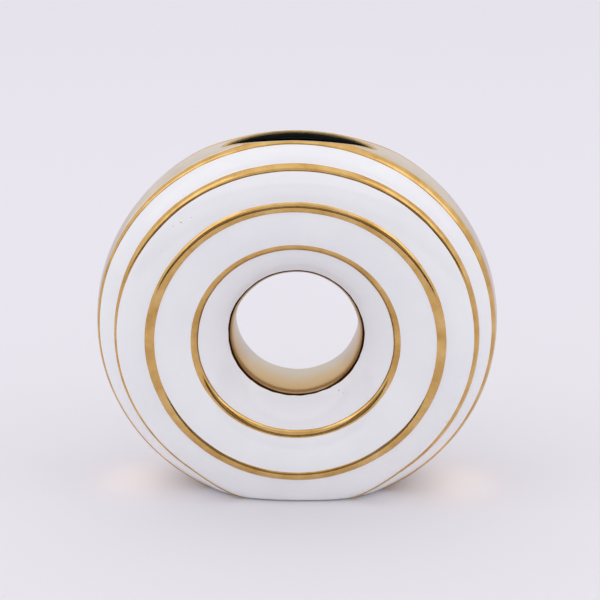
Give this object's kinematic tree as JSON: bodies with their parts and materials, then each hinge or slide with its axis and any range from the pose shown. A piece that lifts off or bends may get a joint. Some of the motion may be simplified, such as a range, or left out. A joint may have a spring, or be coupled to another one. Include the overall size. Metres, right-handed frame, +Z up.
{
  "type": "ring vase",
  "caption": "Upright ring-shaped porcelain vase, glossy white with fired gold bands, a round hole through the middle and a pointed oval mouth in the rim.",
  "frame": {"origin": "centre of the foot's underside, on the plane the vase stands on", "axes": "+Z up, -Y towards the front, +X to the right of a viewer in front; the ring's axis runs along Y"},
  "size_m": [0.3, 0.0914, 0.2803],
  "materials": {
    "white_glaze": "glossy transparent glaze over white porcelain",
    "dark_glaze": "glossy near-black glaze inside the hollow",
    "bare_porcelain": "unglazed, dry and fine-grained",
    "bright_gold": "fired gold, bright, painted by hand",
    "pale_gold": "fired gold, thin and satin"
  },
  "bodies": {
    "root": {"front_shell": "white_glaze", "back_shell": "white_glaze", "inner_glaze": "dark_glaze", "foot": "bare_porcelain", "mouth_lip": "bright_gold", "rim_gilding_left": "pale_gold", "rim_gilding_right": "pale_gold", "hole_gilding": "pale_gold", "front_band_1": "bright_gold", "front_band_2": "bright_gold", "front_band_3": "bright_gold", "front_band_4": "bright_gold", "back_band_1": "bright_gold", "back_band_2": "bright_gold", "back_band_3": "bright_gold", "back_band_4": "bright_gold"}
  },
  "joints": []
}
